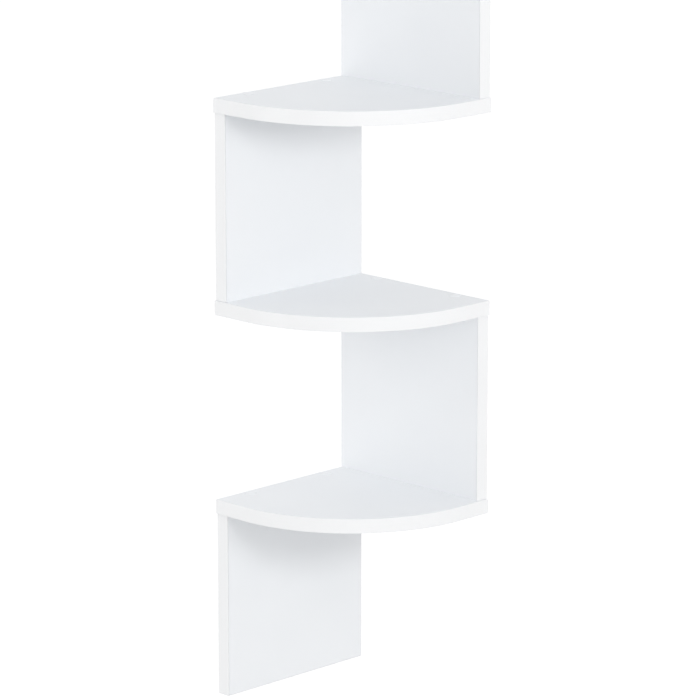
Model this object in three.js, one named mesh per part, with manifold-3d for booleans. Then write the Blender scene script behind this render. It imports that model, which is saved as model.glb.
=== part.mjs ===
// Corner shelf unit that climbs the corner of a room in a zig-zag: five shelves on six upright
// panels, which stand against the left wall and the right wall in turn. Millimetres, +Z up.
// The walls are the planes x = 0 (left) and y = 0 (right). The unit fills x > 0 and y < 0, its
// lowest end is z = 0, and the line where the walls meet is the Z axis.

import * as THREE from 'three';
import { mergeVertices } from 'three/addons/utils/BufferGeometryUtils.js';
import Module from 'manifold-3d';

// Boards, overall sizes with their edge bands on
const shelfCount = 5;
const boardThickness = 15;
const panelHeight = 193;
const shelfSide = 197;
const shelfEnd = 45; // straight end of a shelf, from the wall to where its round front starts
const panelSetback = 2; // the panels' front edges stand this far behind the ends of the shelves

// Edge bands on the front edges of the boards and on the unit's two free ends
const bandThickness = 1;
const glueLine = 0.1;

// Assembly screws, two down and two up through each shelf into the ends of the panels
const screwLength = 50;
const screwHeadRadius = 4.5;
const screwRimHeight = 0.4;
const screwCollarRadius = 2.5;
const screwCollarShort = 1; // the collar ends this far inside the shelf
const screwCoreRadius = 2.1;
const screwTipLength = 4;
const screwTipRadius = 0.9;
const screwHeadSink = 0.3;
const screwFromCorner = 45;
const screwFromFront = 40;
const socketRadius = 1.75; // hexagon socket, across corners
const socketDepth = 2.5;
const screwClearance = 0.3;
const pilotRelief = 2; // bore left free past the tip

// Self-adhesive cover caps on the screw heads that show from above
const capRadius = 6.5;
const capHeight = 0.6;
const capBevel = 0.4;

// Keyhole plates, let into the wall faces of the two highest panels
const plateLength = 46;
const plateWidth = 16;
const plateThickness = 1.5;
const plateFromTop = 45; // middle of the plate, below the top end of its panel
const plateSink = 0.3;
const plateClearance = 0.3;
const keyholeRadius = 4.5;
const slotRadius = 2.3; // half the width of the slot that the wall screw's neck slides up
const slotRise = 8;
const wallHeadMargin = 1.5; // room round the wall screw's head behind the keyhole
const wallHeadDepth = 6;

// Wood screws that hold the keyhole plates
const plateScrewSpacing = 32;
const plateScrewLength = 11;
const plateScrewHeadRadius = 2.8;
const plateScrewRimHeight = 0.2;
const plateScrewRadius = 1.4;
const plateScrewTipLength = 2;
const plateScrewTipRadius = 0.3;
const crossLength = 3;
const crossWidth = 0.8;
const crossDepth = 0.8;

// How far a cutter runs past the face that it cuts
const cutOverrun = 1;

// Facets
const shelfSegments = 16; // half the facets of a shelf's round front
const plateSegments = 6; // half the facets of a round end of a keyhole plate
const turnSegments = 14;
const capSegments = 24;
const socketSides = 6;

const panelCount = shelfCount + 1;
const panelWidth = shelfSide - panelSetback;
const pitch = panelHeight + boardThickness;
const boardMiddle = boardThickness / 2;
const bandedEdge = bandThickness + glueLine;

const wasm = await Module();
wasm.setup();

// Materials, by piece
const finishes = {
  board: { color: 0xf1f3f5, roughness: 0.5, metalness: 0 },
  band: { color: 0xf6f7f8, roughness: 0.45, metalness: 0 },
  cap: { color: 0xf4f5f6, roughness: 0.5, metalness: 0 },
  screw: { color: 0xb9bcc0, roughness: 0.35, metalness: 1 },
  plate: { color: 0xc2c4c6, roughness: 0.4, metalness: 1 },
};

// A closed solid from a geometry: shared corners merged, slivers on a lathe's axis left out
function solidOf(geometry) {
  const bare = geometry.index ? geometry.toNonIndexed() : geometry.clone();
  bare.deleteAttribute('normal');
  bare.deleteAttribute('uv');
  const merged = mergeVertices(bare);
  const corners = merged.index.array;
  const kept = [];
  for (let i = 0; i < corners.length; i += 3) {
    const [a, b, c] = corners.slice(i, i + 3);
    if (a !== b && b !== c && c !== a) kept.push(a, b, c);
  }
  const vertProperties = Float32Array.from(merged.attributes.position.array);
  const mesh = new wasm.Mesh({ numProp: 3, vertProperties, triVerts: Uint32Array.from(kept) });
  return new wasm.Manifold(mesh);
}

function geometryOf(solid) {
  const { vertProperties, triVerts } = solid.getMesh();
  const geometry = new THREE.BufferGeometry();
  geometry.setAttribute('position', new THREE.BufferAttribute(vertProperties, 3));
  geometry.setIndex(new THREE.BufferAttribute(triVerts, 1));
  geometry.computeVertexNormals();
  return geometry;
}

// A named piece of the unit
function piece(name, solid, finish) {
  const mesh = new THREE.Mesh(geometryOf(solid), new THREE.MeshStandardMaterial(finish));
  mesh.name = name;
  return mesh;
}

function cut(solid, cutters) {
  return cutters.reduce((rest, cutter) => rest.subtract(solidOf(cutter)), solid);
}

// A body of revolution about Z from a profile of (radius, z) pairs, lowest first
function turned(profile, segments = turnSegments) {
  const points = profile.map(([radius, z]) => new THREE.Vector2(radius, z));
  return new THREE.LatheGeometry(points, segments).rotateX(Math.PI / 2);
}

// An outline pulled up from z = from to z = to
function pulled(shape, from, to, segments) {
  const settings = { depth: to - from, bevelEnabled: false, curveSegments: segments };
  return new THREE.ExtrudeGeometry(shape, settings).translate(0, 0, from);
}

// Panels stand on the left wall and the right wall in turn, from the lowest up
function wallOf(panelIndex) {
  return panelIndex % 2 === 0 ? 'left' : 'right';
}

// Plan position of a point that is so far along a wall from the corner, and so far off that wall
function onWall(wall, along, off) {
  return wall === 'left' ? [off, -along] : [along, -off];
}

// Axes of a wall face: X along it, Y up, Z into the wall
function wallFrame(wall, along, height) {
  const up = new THREE.Vector3(0, 0, 1);
  const out = wall === 'left' ? new THREE.Vector3(-1, 0, 0) : new THREE.Vector3(0, 1, 0);
  const across = new THREE.Vector3().crossVectors(up, out);
  const frame = new THREE.Matrix4().makeBasis(across, up, out);
  const [x, y] = onWall(wall, along, 0);
  return frame.setPosition(x, y, height);
}

// A slab as thick as a board on a wall, between two distances from the corner and two heights
function slab(wall, from, to, bottom, top) {
  const [x0, y0] = onWall(wall, from, 0);
  const [x1, y1] = onWall(wall, to, boardThickness);
  const box = new THREE.BoxGeometry(Math.abs(x1 - x0), Math.abs(y1 - y0), top - bottom);
  return box.translate((x0 + x1) / 2, (y0 + y1) / 2, (bottom + top) / 2);
}

// An upright outline with round ends, their centres so far above and below its middle
function stadium(radius, reach) {
  const shape = new THREE.Shape();
  shape.moveTo(radius, -reach);
  shape.lineTo(radius, reach);
  shape.absarc(0, reach, radius, 0, Math.PI, false);
  shape.lineTo(-radius, -reach);
  shape.absarc(0, -reach, radius, Math.PI, 2 * Math.PI, false);
  shape.closePath();
  return shape;
}

// Plan of a shelf: square to both walls, its front corner rounded about a fixed centre
function shelfPlan(side) {
  const shape = new THREE.Shape();
  shape.moveTo(0, 0);
  shape.lineTo(0, -side);
  shape.lineTo(shelfEnd, -side);
  shape.absarc(shelfEnd, -shelfEnd, side - shelfEnd, -Math.PI / 2, 0, false);
  shape.lineTo(side, 0);
  shape.closePath();
  return shape;
}

// Plan of the band that runs round the ends and the front of a shelf
function shelfBandPlan() {
  const inner = shelfSide - bandThickness;
  const shape = new THREE.Shape();
  shape.moveTo(0, -inner);
  shape.lineTo(0, -shelfSide);
  shape.lineTo(shelfEnd, -shelfSide);
  shape.absarc(shelfEnd, -shelfEnd, shelfSide - shelfEnd, -Math.PI / 2, 0, false);
  shape.lineTo(shelfSide, 0);
  shape.lineTo(inner, 0);
  shape.lineTo(inner, -shelfEnd);
  shape.absarc(shelfEnd, -shelfEnd, inner - shelfEnd, 0, -Math.PI / 2, true);
  shape.closePath();
  return shape;
}

// Distances from the corner to the two screws that hold a shelf to a panel
const screwSeats = {
  rear: screwFromCorner,
  front: panelWidth - screwFromFront,
};

// Countersunk screw, its head's flat top at z = 0 and its tip downwards
function assemblyScrew() {
  const collarEnd = boardThickness - screwHeadSink - screwCollarShort;
  const coneEnd = screwRimHeight + screwHeadRadius - screwCollarRadius;
  const body = turned([
    [0, -screwLength],
    [screwTipRadius, -screwLength],
    [screwCoreRadius, screwTipLength - screwLength],
    [screwCoreRadius, -collarEnd],
    [screwCollarRadius, -collarEnd],
    [screwCollarRadius, -coneEnd],
    [screwHeadRadius, -screwRimHeight],
    [screwHeadRadius, 0],
    [0, 0],
  ]);
  const socket = new THREE.CylinderGeometry(
    socketRadius, socketRadius, socketDepth + cutOverrun, socketSides,
  );
  socket.rotateX(Math.PI / 2).translate(0, 0, (cutOverrun - socketDepth) / 2);
  return cut(solidOf(body), [socket]);
}

// Clearance hole with its countersink, for a board whose face is z = 0 and which lies below it
function screwHole() {
  const sinkRadius = screwHeadRadius + screwClearance;
  const holeRadius = screwCollarRadius + screwClearance;
  const sinkEnd = screwHeadSink + screwRimHeight;
  const through = boardThickness + cutOverrun;
  return turned([
    [0, -through],
    [holeRadius, -through],
    [holeRadius, -sinkEnd - sinkRadius + holeRadius],
    [sinkRadius, -sinkEnd],
    [sinkRadius, cutOverrun],
    [0, cutOverrun],
  ]);
}

// Pilot bore in the top end of a panel, that end being z = 0
function pilotBore() {
  const radius = screwCoreRadius + screwClearance;
  const depth = screwHeadSink + screwLength - boardThickness + pilotRelief;
  return turned([[0, -depth], [radius, -depth], [radius, cutOverrun], [0, cutOverrun]]);
}

function shelfBoard(shelfIndex) {
  const cutters = [];
  for (const seat of Object.values(screwSeats)) {
    const [xDown, yDown] = onWall(wallOf(shelfIndex), seat, boardMiddle);
    const [xUp, yUp] = onWall(wallOf(shelfIndex + 1), seat, boardMiddle);
    cutters.push(screwHole().translate(xDown, yDown, boardThickness));
    cutters.push(screwHole().rotateX(Math.PI).translate(xUp, yUp, 0));
  }
  const board = pulled(shelfPlan(shelfSide - bandedEdge), 0, boardThickness, shelfSegments);
  return cut(solidOf(board), cutters);
}

function shelfBand() {
  return solidOf(pulled(shelfBandPlan(), 0, boardThickness, shelfSegments));
}

function coverCap() {
  const profile = [
    [0, 0],
    [capRadius, 0],
    [capRadius, capHeight - capBevel],
    [capRadius - capBevel, capHeight],
    [0, capHeight],
  ];
  return solidOf(turned(profile, capSegments));
}

// Outline of a keyhole plate, or of its recess with a margin round it
function plateOutline(margin) {
  return stadium(plateWidth / 2 + margin, (plateLength - plateWidth) / 2);
}

// Keyhole: a round mouth for the wall screw's head, and a slot above it for the neck
function keyhole() {
  const mouthY = -slotRise / 2;
  const slotY = slotRise / 2;
  const meeting = Math.acos(slotRadius / keyholeRadius);
  const neckY = mouthY + keyholeRadius * Math.sin(meeting);
  const path = new THREE.Path();
  path.moveTo(slotRadius, neckY);
  path.lineTo(slotRadius, slotY);
  path.absarc(0, slotY, slotRadius, 0, Math.PI, false);
  path.lineTo(-slotRadius, neckY);
  path.absarc(0, mouthY, keyholeRadius, Math.PI - meeting, 2 * Math.PI + meeting, false);
  path.closePath();
  return path;
}

// Pocket behind the keyhole, where the wall screw's head slides up
function headPocket() {
  return stadium(keyholeRadius + wallHeadMargin, slotRise / 2);
}

// Heights of a keyhole plate's two screws, from its middle
const plateScrewSeats = {
  upper: plateScrewSpacing / 2,
  lower: -plateScrewSpacing / 2,
};

// Hole for a plate screw, its mouth at z = 0, widened by a clearance all round
function plateScrewHole(depth) {
  const headRadius = plateScrewHeadRadius + plateClearance;
  const radius = plateScrewRadius + plateClearance;
  return turned([
    [0, -depth],
    [radius, -depth],
    [radius, -plateScrewRimHeight - headRadius + radius],
    [headRadius, -plateScrewRimHeight],
    [headRadius, cutOverrun],
    [0, cutOverrun],
  ]);
}

// Keyhole plate, its outer face at z = 0 and the wall on the +Z side
function keyholePlate() {
  const outline = plateOutline(0);
  outline.holes.push(keyhole());
  const holes = Object.values(plateScrewSeats).map(
    (seat) => plateScrewHole(plateThickness + cutOverrun).translate(0, seat, 0),
  );
  return cut(solidOf(pulled(outline, -plateThickness, 0, plateSegments)), holes);
}

// Small countersunk wood screw with a cross recess, its head's flat top at z = 0
function plateScrew() {
  const coneEnd = plateScrewRimHeight + plateScrewHeadRadius - plateScrewRadius;
  const body = turned([
    [0, -plateScrewLength],
    [plateScrewTipRadius, -plateScrewLength],
    [plateScrewRadius, plateScrewTipLength - plateScrewLength],
    [plateScrewRadius, -coneEnd],
    [plateScrewHeadRadius, -plateScrewRimHeight],
    [plateScrewHeadRadius, 0],
    [0, 0],
  ]);
  const slot = new THREE.BoxGeometry(crossLength, crossWidth, 2 * crossDepth);
  return cut(solidOf(body), [slot, slot.clone().rotateZ(Math.PI / 2)]);
}

// Recess, head pocket and pilot bores for a keyhole plate, on the plate's own axes
function plateCutters() {
  const seatDepth = plateSink + plateThickness + plateClearance;
  const pocketDepth = seatDepth + wallHeadDepth;
  const recess = pulled(plateOutline(plateClearance), -seatDepth, cutOverrun, plateSegments);
  const pocket = pulled(headPocket(), -pocketDepth, cutOverrun - seatDepth, plateSegments);
  const boreDepth = plateSink + plateScrewLength + plateClearance;
  const boreRadius = plateScrewRadius + plateClearance;
  const bores = Object.values(plateScrewSeats).map((seat) => turned([
    [0, -boreDepth], [boreRadius, -boreDepth], [boreRadius, 0], [0, 0],
  ]).translate(0, seat, 0));
  return [recess, pocket, ...bores];
}

const plateHeight = panelHeight - plateFromTop;
const plateAlong = panelWidth / 2;

// Upright panel with its lower end at z = 0, bored for the screws and cut for its keyhole plate
function panelBoard(panelIndex) {
  const wall = wallOf(panelIndex);
  const hasShelfAbove = panelIndex < shelfCount;
  const hasShelfBelow = panelIndex > 0;
  const cutters = [];
  for (const seat of Object.values(screwSeats)) {
    const [x, y] = onWall(wall, seat, boardMiddle);
    if (hasShelfAbove) cutters.push(pilotBore().translate(x, y, panelHeight));
    if (hasShelfBelow) cutters.push(pilotBore().rotateX(Math.PI).translate(x, y, 0));
  }
  if (panelIndex >= panelCount - 2) {
    const frame = wallFrame(wall, plateAlong, plateHeight);
    cutters.push(...plateCutters().map((cutter) => cutter.applyMatrix4(frame)));
  }
  const bottom = hasShelfBelow ? 0 : bandedEdge;
  const top = hasShelfAbove ? panelHeight : panelHeight - bandedEdge;
  return cut(solidOf(slab(wall, 0, panelWidth - bandedEdge, bottom, top)), cutters);
}

function panelBand(panelIndex) {
  const wall = wallOf(panelIndex);
  return solidOf(slab(wall, panelWidth - bandThickness, panelWidth, 0, panelHeight));
}

// Band on a free end of the unit, its underside at the height bottom
function endBand(panelIndex, bottom) {
  const wall = wallOf(panelIndex);
  return solidOf(slab(wall, 0, panelWidth - bandedEdge, bottom, bottom + bandThickness));
}

const unit = new THREE.Group();
unit.name = 'corner_shelf_unit';

// Panels
for (let i = 0; i < panelCount; i += 1) {
  const level = new THREE.Group();
  level.position.z = i * pitch;
  const label = `panel_${i + 1}`;
  level.add(piece(`${label}_${wallOf(i)}`, panelBoard(i), finishes.board));
  level.add(piece(`${label}_edge_band`, panelBand(i), finishes.band));
  if (i === 0) level.add(piece(`${label}_end_band`, endBand(i, 0), finishes.band));
  if (i === shelfCount) {
    level.add(piece(`${label}_end_band`, endBand(i, panelHeight - bandThickness), finishes.band));
  }
  unit.add(level);
}

// Shelves, their screws, and the caps on the screws that go down
for (let i = 0; i < shelfCount; i += 1) {
  const level = new THREE.Group();
  level.position.z = i * pitch + panelHeight;
  const label = `shelf_${i + 1}`;
  level.add(piece(label, shelfBoard(i), finishes.board));
  level.add(piece(`${label}_edge_band`, shelfBand(), finishes.band));
  for (const [place, seat] of Object.entries(screwSeats)) {
    const [xDown, yDown] = onWall(wallOf(i), seat, boardMiddle);
    const down = piece(`${label}_screw_down_${place}`, assemblyScrew(), finishes.screw);
    down.position.set(xDown, yDown, boardThickness - screwHeadSink);
    const cap = piece(`${label}_cap_${place}`, coverCap(), finishes.cap);
    cap.position.set(xDown, yDown, boardThickness);
    const [xUp, yUp] = onWall(wallOf(i + 1), seat, boardMiddle);
    const up = piece(`${label}_screw_up_${place}`, assemblyScrew(), finishes.screw);
    up.rotation.x = Math.PI;
    up.position.set(xUp, yUp, screwHeadSink);
    level.add(down, cap, up);
  }
  unit.add(level);
}

// Keyhole plates and their screws
for (let i = panelCount - 2; i < panelCount; i += 1) {
  const hanger = new THREE.Group();
  const frame = wallFrame(wallOf(i), plateAlong, i * pitch + plateHeight);
  frame.decompose(hanger.position, hanger.quaternion, hanger.scale);
  const label = `keyhole_plate_${wallOf(i)}`;
  const plate = piece(label, keyholePlate(), finishes.plate);
  plate.position.z = -plateSink;
  hanger.add(plate);
  for (const [place, seat] of Object.entries(plateScrewSeats)) {
    const screw = piece(`${label}_screw_${place}`, plateScrew(), finishes.screw);
    screw.position.set(0, seat, -plateSink);
    hanger.add(screw);
  }
  unit.add(hanger);
}

export default unit;
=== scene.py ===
"""Corner shelf unit in white melamine-faced board, hung clear of a plain pale floor and seen from
the front, a little from above. All lengths are in metres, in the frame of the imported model."""

import math

import bpy
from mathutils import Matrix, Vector


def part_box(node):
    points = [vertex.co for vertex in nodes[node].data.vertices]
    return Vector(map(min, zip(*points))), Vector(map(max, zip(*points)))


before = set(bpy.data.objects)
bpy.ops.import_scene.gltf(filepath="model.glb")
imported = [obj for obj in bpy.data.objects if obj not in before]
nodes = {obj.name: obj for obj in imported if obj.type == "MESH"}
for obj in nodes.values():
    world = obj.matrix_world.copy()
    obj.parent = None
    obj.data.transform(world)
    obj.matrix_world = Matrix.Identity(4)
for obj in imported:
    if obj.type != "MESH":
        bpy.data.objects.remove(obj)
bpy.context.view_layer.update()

MM = 0.001

# Camera, fitted to the photograph's edges without a lens shift
THIRD_SHELF_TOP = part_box("shelf_3")[1].z
CAMERA_DISTANCE = 4.5
CAMERA_ABOVE_THIRD_SHELF = 0.7898
CAMERA_PITCH = 0.2361
CAMERA_YAW = -0.0051
CAMERA_SIDESTEP = -0.00145
FOCAL_PIXELS = 4427.3
IMAGE_PIXELS = 700
SENSOR_WIDTH = 36.0
FARTHEST_SEEN = 100.0

# Light from the surroundings, and what the floor adds for the camera
SKY_LEVEL = 0.79
SKY_HORIZON = 0.078
HORIZON_NARROWING = 3.0
FLOOR_GLOW = 0.45

# Soft lamps: centre, width and height, power in watts
LIT_MIDDLE = Vector((0.1, -0.1, 0.45))
KEY_PLACE = Vector((2.42, -0.4, 1.19))
KEY_SIZE = (1.2, 0.42)
KEY_POWER = 13.685
LEFT_PLACE = Vector((-0.42, -0.35, 0.55))
LEFT_SIZE = (0.4, 1.8)
LEFT_POWER = 1.009
FRONT_PLACE = Vector((2.66, -2.66, 2.0))
FRONT_SIZE = (2.2, 2.2)
FRONT_POWER = 15.465
FILL_PLACE = Vector((-0.79, -2.54, 0.1))
FILL_SIZE = (1.0, 1.0)
FILL_POWER = 5.236

# Floor
FLOOR_DROP = 0.5
FLOOR_SIZE = 60.0
FLOOR_CLOUD = 3.0

# Edge radii, and the gaps and angles that the modifiers work with
BOARD_ROUNDING = 0.05 * MM
BAND_ROUNDING = 0.4 * MM
CAP_ROUNDING = 0.15 * MM
SCREW_ROUNDING = 0.1 * MM
PLATE_ROUNDING = 0.15 * MM
ROUNDING_STEPS = 3
SHARP_ANGLE = math.radians(30)
FLAT_ANGLE = math.radians(0.5)
WELD_GAP = 0.002 * MM
CLOSING_GAP = 0.0005 * MM

# Melamine: how fine its patterns are, in spots per metre, and how deep its bumps
BOARD_CLOUD = 9.0
BOARD_CONTRAST = (0.3, 0.7)
GLOSS_CLOUD = 35.0
PEEL_GRAIN = 850.0
PEEL_DEPTH = 0.02 * MM
RIPPLE_GRAIN = 160.0
RIPPLE_DEPTH = 0.05 * MM
MELAMINE_ROUGHNESS = (0.50, 0.58)

# Particleboard core, which starts below the board's skin
SKIN = 0.25 * MM
CHIP_GRAIN = 700.0
CHIP_SHAPE = (1.0, 1.0, 0.45)
CHIP_CONTRAST = (0.35, 0.65)
CHIP_DEPTH = 0.4 * MM
CORE_ROUGHNESS = 0.85

# Edge band, with its lines along the plan or upright
BAND_CLOUD = 14.0
BAND_LINES_LYING = (40.0, 40.0, 2600.0)
BAND_LINES_UPRIGHT = (2600.0, 2600.0, 40.0)
BAND_LINE_DEPTH = 0.015 * MM
BAND_ROUGHNESS = (0.32, 0.42)

# Cover cap
CAP_CLOUD = 60.0
CAP_GRAIN = 1600.0
CAP_GRAIN_DEPTH = 0.01 * MM
CAP_ROUGHNESS = (0.38, 0.5)

# Zinc: crystals per metre and their share in the mottle, then the cloud and the rolling lines as
# multiples of the grain
SCREW_GRAIN = 1500.0
SCREW_SPANGLE = 0.1
PLATE_GRAIN = 620.0
PLATE_SPANGLE = 0.35
ZINC_CLOUD = 0.3
ZINC_CONTRAST = (0.25, 0.75)
ROLLING_ACROSS = 8.0
ROLLING_ALONG = 0.25
ROLLING_DEPTH = 0.01 * MM
ZINC_DARKEST = 0.74
ZINC_ROUGHNESS = (0.46, 0.26)

# How much less green goes with a touch of blue
GREEN_LOSS = 0.12


def grey(level, blue=0.0):
    """A grey with a touch of blue, and a little less green, which takes the cyan out of it."""
    return (level * (1 - blue), level * (1 - GREEN_LOSS * blue), level * (1 + blue), 1.0)


# Colours: where there are two, the surface varies between them
MELAMINE_WHITE = (grey(0.86, 0.023), grey(0.875, 0.020))
BAND_WHITE = (grey(0.87, 0.009), grey(0.885, 0.007))
CORE_BROWN = ((0.30, 0.19, 0.10, 1.0), (0.62, 0.46, 0.28, 1.0))
FLOOR_WHITE = (grey(0.76), grey(0.78))
SCREW_TINT = (0.60, 0.62, 0.66)
PLATE_TINT = (0.54, 0.55, 0.57)
PURE_WHITE = (1.0, 1.0, 1.0, 1.0)


# Camera

def make_camera():
    """The camera stands on the diagonal of the corner, turned by a small yaw and pitched down."""
    right = Vector((1, 1, 0)).normalized()
    out = Vector((1, -1, 0)).normalized()
    sine, cosine = math.sin(CAMERA_YAW), math.cos(CAMERA_YAW)
    place = right * (cosine * CAMERA_SIDESTEP + sine * CAMERA_DISTANCE)
    place += out * (cosine * CAMERA_DISTANCE - sine * CAMERA_SIDESTEP)
    place.z = THIRD_SHELF_TOP + CAMERA_ABOVE_THIRD_SHELF
    level = -(right * sine + out * cosine)
    look = level * math.cos(CAMERA_PITCH) - Vector((0, 0, math.sin(CAMERA_PITCH)))
    data = bpy.data.cameras.new("camera")
    data.sensor_width = SENSOR_WIDTH
    data.lens = FOCAL_PIXELS / IMAGE_PIXELS * SENSOR_WIDTH
    data.clip_end = FARTHEST_SEEN
    camera = bpy.data.objects.new("camera", data)
    camera.location = place
    camera.rotation_mode = "QUATERNION"
    camera.rotation_quaternion = look.to_track_quat("-Z", "Y")
    bpy.context.scene.collection.objects.link(camera)
    bpy.context.scene.camera = camera


# Node helpers

class Nodes:
    """Short calls that add nodes to a node tree."""

    def __init__(self, tree):
        self.tree = tree

    def node(self, kind, links=None, **settings):
        made = self.tree.nodes.new(kind)
        for key, value in settings.items():
            setattr(made, key, value)
        for socket, source in (links or {}).items():
            self.put(made.inputs[socket], source)
        return made

    def put(self, socket, source):
        if isinstance(source, bpy.types.NodeSocket):
            self.tree.links.new(source, socket)
        else:
            socket.default_value = source

    def maths(self, operation, a, b=0.0):
        return self.node("ShaderNodeMath", {0: a, 1: b}, operation=operation).outputs["Value"]

    def seen(self):
        """1 for rays from the camera, from a reflection or through glass, and 0 for all other light."""
        rays = self.node("ShaderNodeLightPath").outputs
        seen = self.maths("MAXIMUM", rays["Is Camera Ray"], rays["Is Glossy Ray"])
        return self.maths("MAXIMUM", seen, rays["Is Transmission Ray"])


class Finish(Nodes):
    """A material, and the calls for what its surface needs."""

    def __init__(self, name):
        self.material = bpy.data.materials.new(name)
        self.material.use_nodes = True
        super().__init__(self.material.node_tree)
        self.shader = self.tree.nodes["Principled BSDF"]
        self.place = self.node("ShaderNodeTexCoord").outputs["Object"]

    def stretched(self, scale):
        links = {"Vector": self.place, "Scale": scale}
        return self.node("ShaderNodeMapping", links).outputs["Vector"]

    def noise(self, scale, detail=2.0, roughness=0.5, place=None):
        links = {"Vector": place or self.place, "Scale": scale}
        links.update({"Detail": detail, "Roughness": roughness})
        return self.node("ShaderNodeTexNoise", links).outputs["Fac"]

    def spread(self, value, low, high, from_low=0.0, from_high=1.0):
        links = {"Value": value, "To Min": low, "To Max": high}
        links.update({"From Min": from_low, "From Max": from_high})
        return self.node("ShaderNodeMapRange", links).outputs["Result"]

    def contrast(self, value, low, high):
        """Stretches what lies between low and high to the range from 0 to 1."""
        return self.spread(value, 0.0, 1.0, from_low=low, from_high=high)

    def blend(self, factor, a, b):
        made = self.node("ShaderNodeMix", data_type="RGBA")
        self.put(made.inputs["Factor"], factor)
        self.put(made.inputs["A"], a)
        self.put(made.inputs["B"], b)
        return made.outputs["Result"]

    def bump(self, height, distance, strength=1.0, normal=None):
        links = {"Height": height, "Distance": distance, "Strength": strength}
        if normal is not None:
            links["Normal"] = normal
        return self.node("ShaderNodeBump", links).outputs["Normal"]

    def surface(self, **sockets):
        for name, source in sockets.items():
            self.put(self.shader.inputs[name.replace("_", " ").title()], source)


# Materials

def below_skin(finish, low, high):
    """1 where a point lies deeper than the skin, seen from every side of a board's box, else 0."""
    place = finish.node("ShaderNodeSeparateXYZ", {"Vector": finish.place}).outputs
    inside = 1.0
    for axis, start, end in zip("XYZ", low, high):
        past_start = finish.maths("GREATER_THAN", place[axis], start + SKIN)
        inside = finish.maths("MULTIPLY", inside, past_start)
        before_end = finish.maths("LESS_THAN", place[axis], end - SKIN)
        inside = finish.maths("MULTIPLY", inside, before_end)
    return inside


def melamine(name, low, high):
    """White satin melamine with a faint orange-peel, over a particleboard core that shows inside the
    board's bores and recesses."""
    finish = Finish(name)
    cloud = finish.noise(BOARD_CLOUD, detail=3.0)
    white = finish.blend(finish.contrast(cloud, *BOARD_CONTRAST), *MELAMINE_WHITE)
    inside = below_skin(finish, low, high)
    chips = finish.noise(CHIP_GRAIN, detail=4.0, roughness=0.65, place=finish.stretched(CHIP_SHAPE))
    core = finish.blend(finish.contrast(chips, *CHIP_CONTRAST), *CORE_BROWN)
    peel = finish.noise(PEEL_GRAIN)
    ripple = finish.noise(RIPPLE_GRAIN, detail=1.0)
    normal = finish.bump(peel, PEEL_DEPTH, strength=0.35)
    normal = finish.bump(ripple, RIPPLE_DEPTH, strength=0.25, normal=normal)
    normal = finish.bump(finish.maths("MULTIPLY", chips, inside), CHIP_DEPTH, normal=normal)
    gloss = finish.spread(finish.noise(GLOSS_CLOUD, detail=3.0), *MELAMINE_ROUGHNESS)
    core_gloss = finish.maths("MULTIPLY", inside, CORE_ROUGHNESS)
    finish.surface(base_color=finish.blend(inside, white, core), normal=normal)
    finish.surface(roughness=finish.maths("MAXIMUM", gloss, core_gloss))
    return finish.material


def edge_band(name, line_grain):
    """White plastic edge band with the fine lengthwise lines of its extrusion."""
    finish = Finish(name)
    lines = finish.noise(1.0, detail=3.0, roughness=0.6, place=finish.stretched(line_grain))
    finish.surface(base_color=finish.blend(finish.noise(BAND_CLOUD), *BAND_WHITE))
    finish.surface(roughness=finish.spread(lines, *BAND_ROUGHNESS))
    finish.surface(normal=finish.bump(lines, BAND_LINE_DEPTH, strength=0.5))
    return finish.material


def cap_plastic(name):
    """Thin white cover cap, a touch glossier than the board, with a fine moulded grain."""
    finish = Finish(name)
    grain = finish.noise(CAP_GRAIN)
    finish.surface(base_color=finish.blend(finish.noise(CAP_CLOUD), *MELAMINE_WHITE))
    finish.surface(roughness=finish.spread(grain, *CAP_ROUGHNESS))
    finish.surface(normal=finish.bump(grain, CAP_GRAIN_DEPTH, strength=0.6))
    return finish.material


def zinc(name, tint, grain, spangle):
    """Zinc plating over rolled steel: grey metal with a crystalline mottle, fine lines along the
    rolling and small changes of gloss."""
    finish = Finish(name)
    cells = finish.node("ShaderNodeTexVoronoi", {"Vector": finish.place, "Scale": grain})
    crystals = finish.node("ShaderNodeSeparateXYZ", {"Vector": cells.outputs["Color"]}).outputs["X"]
    rolled = finish.stretched((ROLLING_ACROSS * grain, ROLLING_ACROSS * grain, ROLLING_ALONG * grain))
    lines = finish.noise(1.0, detail=3.0, roughness=0.6, place=rolled)
    cloud = finish.noise(ZINC_CLOUD * grain, detail=4.0, roughness=0.6)
    mottle = finish.maths("MULTIPLY", crystals, spangle)
    mottle = finish.maths("ADD", mottle, finish.maths("MULTIPLY", cloud, 1.0 - spangle))
    mottle = finish.contrast(mottle, *ZINC_CONTRAST)
    darker = tuple(ZINC_DARKEST * part for part in tint)
    finish.surface(base_color=finish.blend(mottle, (*darker, 1.0), (*tint, 1.0)))
    finish.surface(roughness=finish.spread(finish.maths("MULTIPLY", mottle, lines), *ZINC_ROUGHNESS))
    finish.surface(normal=finish.bump(lines, ROLLING_DEPTH, strength=0.5))
    finish.surface(metallic=1.0)
    return finish.material


def floor_paint(name):
    """Pale floor that renders white where it is lit and keeps the unit's soft shadow. It is clear when
    the camera looks up at it from below."""
    finish = Finish(name)
    finish.surface(base_color=finish.blend(finish.noise(FLOOR_CLOUD), *FLOOR_WHITE), roughness=1.0)
    finish.shader.inputs["Specular IOR Level"].default_value = 0.0
    glow_level = finish.maths("MULTIPLY", finish.seen(), FLOOR_GLOW)
    glow = finish.node("ShaderNodeEmission", {"Strength": glow_level})
    lit = finish.node("ShaderNodeAddShader", {0: finish.shader.outputs[0], 1: glow.outputs[0]})
    clear = finish.node("ShaderNodeBsdfTransparent")
    below = finish.node("ShaderNodeNewGeometry").outputs["Backfacing"]
    mixed = finish.node("ShaderNodeMixShader", {0: below, 1: lit.outputs[0], 2: clear.outputs[0]})
    finish.put(finish.tree.nodes["Material Output"].inputs["Surface"], mixed.outputs[0])
    return finish.material


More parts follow.
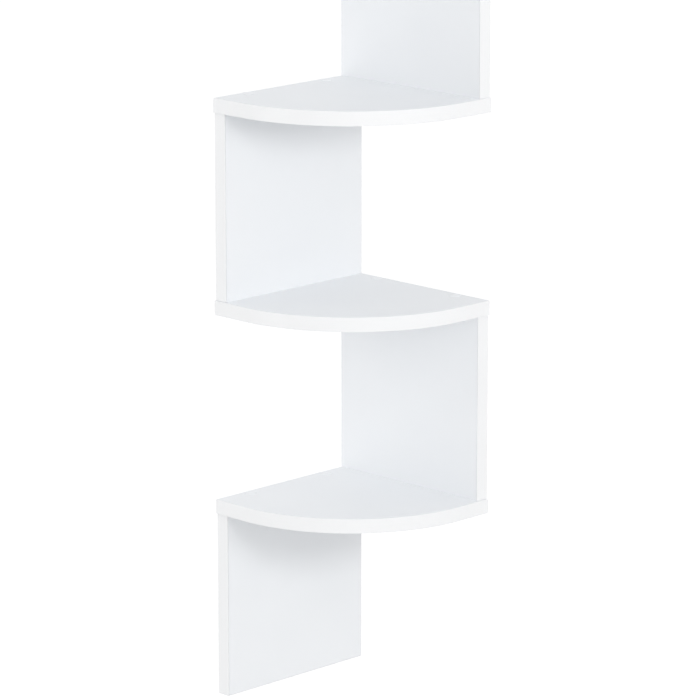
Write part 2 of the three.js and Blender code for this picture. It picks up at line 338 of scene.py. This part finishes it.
# Dressing of the CAD nodes

def join_facets(piece):
    """Welds the imported triangles and joins the ones that lie in one plane, so that a flat face is
    shaded flat up to its rounded edge."""
    weld = piece.modifiers.new("weld", "WELD")
    weld.merge_threshold = WELD_GAP
    planes = piece.modifiers.new("planes", "DECIMATE")
    planes.decimate_type = "DISSOLVE"
    planes.angle_limit = FLAT_ANGLE


def round_edges(piece, radius):
    """Rounds the sharp edges, closes what that leaves folded, and shades the rest smoothly."""
    join_facets(piece)
    edges = piece.modifiers.new("round_edges", "BEVEL")
    edges.width = radius
    edges.segments = ROUNDING_STEPS
    edges.limit_method = "ANGLE"
    edges.angle_limit = SHARP_ANGLE
    edges.use_clamp_overlap = True
    closing = piece.modifiers.new("closing", "WELD")
    closing.merge_threshold = CLOSING_GAP
    shading = piece.modifiers.new("shading", "WEIGHTED_NORMAL")
    shading.keep_sharp = False
    for polygon in piece.data.polygons:
        polygon.use_smooth = True


shelf_band_finish = edge_band("edge_band_lying", BAND_LINES_LYING)
panel_band_finish = edge_band("edge_band_upright", BAND_LINES_UPRIGHT)
cap_finish = cap_plastic("cover_cap_white")
screw_finish = zinc("zinc_screw", SCREW_TINT, SCREW_GRAIN, SCREW_SPANGLE)
plate_finish = zinc("zinc_plate", PLATE_TINT, PLATE_GRAIN, PLATE_SPANGLE)


def look_of(name):
    """The material and the edge radius that go with a node's name."""
    if "_cap_" in name:
        return cap_finish, CAP_ROUNDING
    if "_screw_" in name:
        return screw_finish, SCREW_ROUNDING
    if name.startswith("keyhole_plate"):
        return plate_finish, PLATE_ROUNDING
    if name.startswith("panel") and name.endswith("edge_band"):
        return panel_band_finish, BAND_ROUNDING
    if name.endswith("_band"):
        return shelf_band_finish, BAND_ROUNDING
    return melamine("melamine_" + name, *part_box(name)), BOARD_ROUNDING


for node_name, node in nodes.items():
    material, rounding = look_of(node_name)
    node.data.materials.clear()
    node.data.materials.append(material)
    round_edges(node, rounding)


# Floor, light and background

def make_floor():
    bpy.ops.mesh.primitive_plane_add(size=FLOOR_SIZE, location=(0, 0, -FLOOR_DROP))
    floor = bpy.context.object
    floor.name = "floor"
    floor.data.materials.append(floor_paint("floor_white"))


def make_sky():
    """Even studio light, a little stronger near the horizon, which is plain white to the camera and
    in reflections."""
    world = bpy.data.worlds.new("studio")
    bpy.context.scene.world = world
    world.use_nodes = True
    world.node_tree.nodes.clear()
    sky = Nodes(world.node_tree)
    place = sky.node("ShaderNodeTexCoord").outputs["Generated"]
    height = sky.node("ShaderNodeSeparateXYZ", {"Vector": place}).outputs["Z"]
    nearness = sky.maths("SUBTRACT", 1.0, sky.maths("ABSOLUTE", height))
    nearness = sky.maths("POWER", nearness, HORIZON_NARROWING)
    level = sky.maths("ADD", sky.maths("MULTIPLY", nearness, SKY_HORIZON), SKY_LEVEL)
    light = sky.node("ShaderNodeBackground", {"Color": PURE_WHITE, "Strength": level})
    white = sky.node("ShaderNodeBackground", {"Color": PURE_WHITE, "Strength": 1.0})
    mixed = sky.node("ShaderNodeMixShader", {0: sky.seen(), 1: light.outputs[0], 2: white.outputs[0]})
    sky.node("ShaderNodeOutputWorld", {"Surface": mixed.outputs[0]}, is_active_output=True)


def make_softbox(name, place, size, power):
    """A soft lamp that faces the middle of the photographed part."""
    data = bpy.data.lights.new(name, "AREA")
    data.shape = "RECTANGLE"
    data.size, data.size_y = size
    data.energy = power
    lamp = bpy.data.objects.new(name, data)
    lamp.location = place
    lamp.rotation_mode = "QUATERNION"
    lamp.rotation_quaternion = (LIT_MIDDLE - place).to_track_quat("-Z", "Y")
    lamp.visible_camera = False
    bpy.context.scene.collection.objects.link(lamp)


make_camera()
make_floor()
make_sky()
make_softbox("key", KEY_PLACE, KEY_SIZE, KEY_POWER)
make_softbox("left", LEFT_PLACE, LEFT_SIZE, LEFT_POWER)
make_softbox("front", FRONT_PLACE, FRONT_SIZE, FRONT_POWER)
make_softbox("fill", FILL_PLACE, FILL_SIZE, FILL_POWER)
bpy.context.scene.view_settings.view_transform = "Standard"
